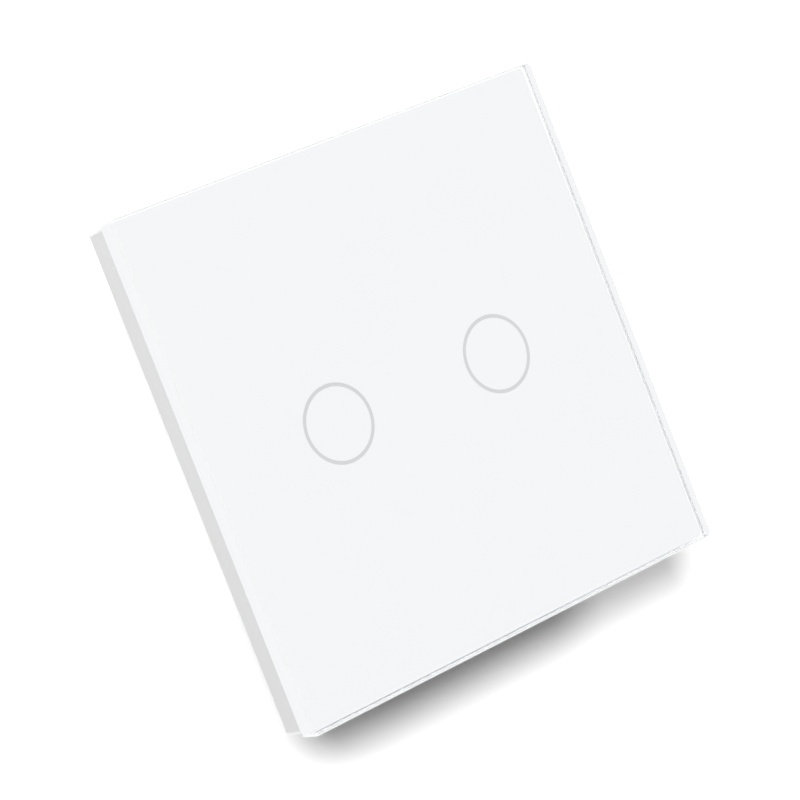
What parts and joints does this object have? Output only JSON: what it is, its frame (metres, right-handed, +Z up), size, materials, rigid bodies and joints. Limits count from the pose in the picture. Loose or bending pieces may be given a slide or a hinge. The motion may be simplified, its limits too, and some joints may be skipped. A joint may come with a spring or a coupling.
{
  "type": "touch light switch",
  "caption": "Square touch light switch for a single wall box: white-backed glass front with ring-shaped touch marks on a snap-off frame, rear box with screw terminals.",
  "frame": {"origin": "middle of the wall plane, which is the back face of the mounting flange", "axes": "+X to the right seen from the front, +Y into the wall, +Z up; the glass faces -Y"},
  "size_m": [0.086, 0.0337, 0.086],
  "materials": {
    "clear_glass": "clear, polished, ground edges",
    "white_ink": "white screen-printed ink",
    "ring_grey": "grey translucent ink",
    "tape": "white foam tape",
    "frame_plastic": "light grey, fine texture",
    "white_plastic": "white, fine texture",
    "zinc_steel": "zinc plated",
    "board_green": "green solder mask",
    "gold_wire": "plated spring wire",
    "light_guide": "clear, polished",
    "led": "clear lens on white body",
    "chip_black": "black moulded",
    "small_parts": "ceramic with tinned ends",
    "ferrite": "dark ceramic",
    "winding_tape": "yellow tape",
    "capacitor_sleeve": "shrink sleeve",
    "film_box": "yellow box",
    "varistor_blue": "dipped coating",
    "fuse_body": "ceramic body",
    "relay_blue": "moulded case",
    "coil": "wound wire",
    "relay_steel": "soft iron, plated",
    "contact_copper": "copper alloy",
    "terminal_grey": "grey moulded",
    "terminal_brass": "bright"
  },
  "bodies": {
    "module": {"mounting_frame": "white_plastic", "rear_box": "white_plastic", "box_screws": "zinc_steel", "touch_pcb": "board_green", "board_screws": "zinc_steel", "touch_spring_left": "gold_wire", "touch_spring_right": "gold_wire", "light_guide_left": "light_guide", "light_guide_right": "light_guide", "indicator_leds": "led", "touch_chips": "chip_black", "touch_passives": "small_parts", "header_body": "chip_black", "header_pins": "gold_wire", "power_pcb": "board_green", "transformer_core": "ferrite", "transformer_bobbin": "chip_black", "transformer_winding": "winding_tape", "bulk_capacitors": "capacitor_sleeve", "x_capacitor": "film_box", "varistor": "varistor_blue", "fuse": "fuse_body", "power_chips": "chip_black", "terminal_block": "terminal_grey", "terminal_contacts": "terminal_brass", "relay_base_left": "relay_blue", "relay_base_right": "relay_blue", "relay_case_left": "relay_blue", "relay_case_right": "relay_blue", "relay_coil_left": "coil", "relay_coil_right": "coil", "relay_yoke_left": "relay_steel", "relay_yoke_right": "relay_steel", "relay_contact_left": "contact_copper", "relay_contact_right": "contact_copper"},
    "front_panel": {"glass_panel": "clear_glass", "ink_layer": "white_ink", "ring_window_left": "ring_grey", "ring_window_right": "ring_grey", "adhesive_tape": "tape", "panel_frame": "frame_plastic"},
    "terminal_screw_1": {"terminal_screw_1": "zinc_steel"},
    "terminal_cage_1": {"terminal_cage_1": "terminal_brass"},
    "terminal_screw_2": {"terminal_screw_2": "zinc_steel"},
    "terminal_cage_2": {"terminal_cage_2": "terminal_brass"},
    "terminal_screw_3": {"terminal_screw_3": "zinc_steel"},
    "terminal_cage_3": {"terminal_cage_3": "terminal_brass"},
    "terminal_screw_4": {"terminal_screw_4": "zinc_steel"},
    "terminal_cage_4": {"terminal_cage_4": "terminal_brass"},
    "relay_armature_left": {"relay_armature_left": "relay_steel", "relay_blade_left": "contact_copper"},
    "relay_armature_right": {"relay_armature_right": "relay_steel", "relay_blade_right": "contact_copper"}
  },
  "joints": [
    {"name": "panel_release", "type": "slide", "parent": "module", "child": "front_panel", "axis": [0, -1, 0], "range_m": [0, 0.04]},
    {"name": "screw_turn_1", "type": "hinge", "parent": "module", "child": "terminal_screw_1", "pos_m": [-0.0135, 0.0165, -0.02], "axis": [0, -1, 0], "range_deg": [0, 2165]},
    {"name": "cage_rise_1", "type": "slide", "parent": "module", "child": "terminal_cage_1", "axis": [0, 1, 0], "range_m": [0, 0.003]},
    {"name": "screw_turn_2", "type": "hinge", "parent": "module", "child": "terminal_screw_2", "pos_m": [-0.0045, 0.0165, -0.02], "axis": [0, -1, 0], "range_deg": [0, 2165]},
    {"name": "cage_rise_2", "type": "slide", "parent": "module", "child": "terminal_cage_2", "axis": [0, 1, 0], "range_m": [0, 0.003]},
    {"name": "screw_turn_3", "type": "hinge", "parent": "module", "child": "terminal_screw_3", "pos_m": [0.0045, 0.0165, -0.02], "axis": [0, -1, 0], "range_deg": [0, 2165]},
    {"name": "cage_rise_3", "type": "slide", "parent": "module", "child": "terminal_cage_3", "axis": [0, 1, 0], "range_m": [0, 0.003]},
    {"name": "screw_turn_4", "type": "hinge", "parent": "module", "child": "terminal_screw_4", "pos_m": [0.0135, 0.0165, -0.02], "axis": [0, -1, 0], "range_deg": [0, 2165]},
    {"name": "cage_rise_4", "type": "slide", "parent": "module", "child": "terminal_cage_4", "axis": [0, 1, 0], "range_m": [0, 0.003]},
    {"name": "relay_close_left", "type": "hinge", "parent": "module", "child": "relay_armature_left", "pos_m": [-0.01149, 0.0162, 0.0165], "axis": [0, 0, -1], "range_deg": [0, 2.9], "stiffness_Nm_per_rad": 0.02, "springref_deg": -1.72},
    {"name": "relay_close_right", "type": "hinge", "parent": "module", "child": "relay_armature_right", "pos_m": [0.01149, 0.0162, 0.0165], "axis": [0, 0, 1], "range_deg": [0, 2.9], "stiffness_Nm_per_rad": 0.02, "springref_deg": -1.72}
  ],
  "couplings": [
    {"joint": "screw_turn_1", "follows": "cage_rise_1", "rad_per_m": 12566},
    {"joint": "screw_turn_2", "follows": "cage_rise_2", "rad_per_m": 12566},
    {"joint": "screw_turn_3", "follows": "cage_rise_3", "rad_per_m": 12566},
    {"joint": "screw_turn_4", "follows": "cage_rise_4", "rad_per_m": 12566}
  ]
}
